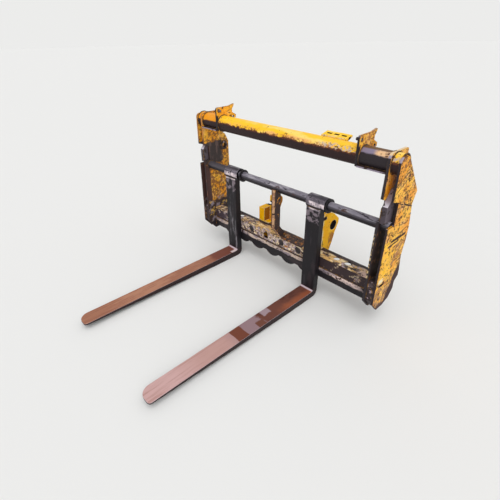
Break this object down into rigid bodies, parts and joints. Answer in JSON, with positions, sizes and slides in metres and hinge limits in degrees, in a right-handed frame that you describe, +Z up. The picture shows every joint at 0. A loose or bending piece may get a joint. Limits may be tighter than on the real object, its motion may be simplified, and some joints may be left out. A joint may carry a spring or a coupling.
{
  "type": "telehandler pallet fork carriage",
  "caption": "Wide pallet fork frame with paired side plates, top tube and round shaft, on which hinged forks slide and swing up.",
  "frame": {"origin": "on the floor under the middle of the carriage's overall width and length", "axes": "+X across to the carriage's left side, +Y from the fork tips to the back, +Z up"},
  "size_m": [1.522, 1.488, 1.086],
  "materials": {
    "frame_paint": "worn yellow paint, chipped to rust",
    "worn_steel": "dark bare steel, rubbed",
    "black_steel": "black scale with scratches",
    "rusty_steel": "forged steel, wet rust brown"
  },
  "bodies": {
    "frame": {"bottom_shelf": "frame_paint", "fork_shaft": "worn_steel", "left_ear": "frame_paint", "left_ear_pin": "worn_steel", "left_ear_strip": "frame_paint", "left_foot_spacer": "worn_steel", "left_hitch_bush": "worn_steel", "left_hitch_lug": "frame_paint", "left_inner_plate": "frame_paint", "left_outer_plate": "frame_paint", "left_shaft_keeper": "worn_steel", "middle_support": "frame_paint", "right_ear": "frame_paint", "right_ear_pin": "worn_steel", "right_ear_strip": "frame_paint", "right_foot_spacer": "worn_steel", "right_hitch_bush": "worn_steel", "right_hitch_lug": "frame_paint", "right_inner_plate": "frame_paint", "right_outer_plate": "frame_paint", "right_shaft_keeper": "worn_steel", "rim_bar": "worn_steel", "slotted_bracket": "frame_paint", "toe_bar": "black_steel", "top_tube": "frame_paint", "web_plate": "frame_paint"},
    "left_collar": {"left_collar": "worn_steel"},
    "left_fork": {"left_fork": "rusty_steel"},
    "right_collar": {"right_collar": "worn_steel"},
    "right_fork": {"right_fork": "rusty_steel"}
  },
  "joints": [
    {"name": "left_slide", "type": "slide", "parent": "frame", "child": "left_collar", "axis": [1, 0, 0], "range_m": [-0.227, 0.299]},
    {"name": "left_swing", "type": "hinge", "parent": "left_collar", "child": "left_fork", "pos_m": [0.293, 0.486, 0.653], "axis": [-1, 0, 0], "range_deg": [0, 155]},
    {"name": "right_slide", "type": "slide", "parent": "frame", "child": "right_collar", "axis": [1, 0, 0], "range_m": [-0.194, 0.3]},
    {"name": "right_swing", "type": "hinge", "parent": "right_collar", "child": "right_fork", "pos_m": [-0.44, 0.486, 0.653], "axis": [-1, 0, 0], "range_deg": [0, 155]}
  ]
}
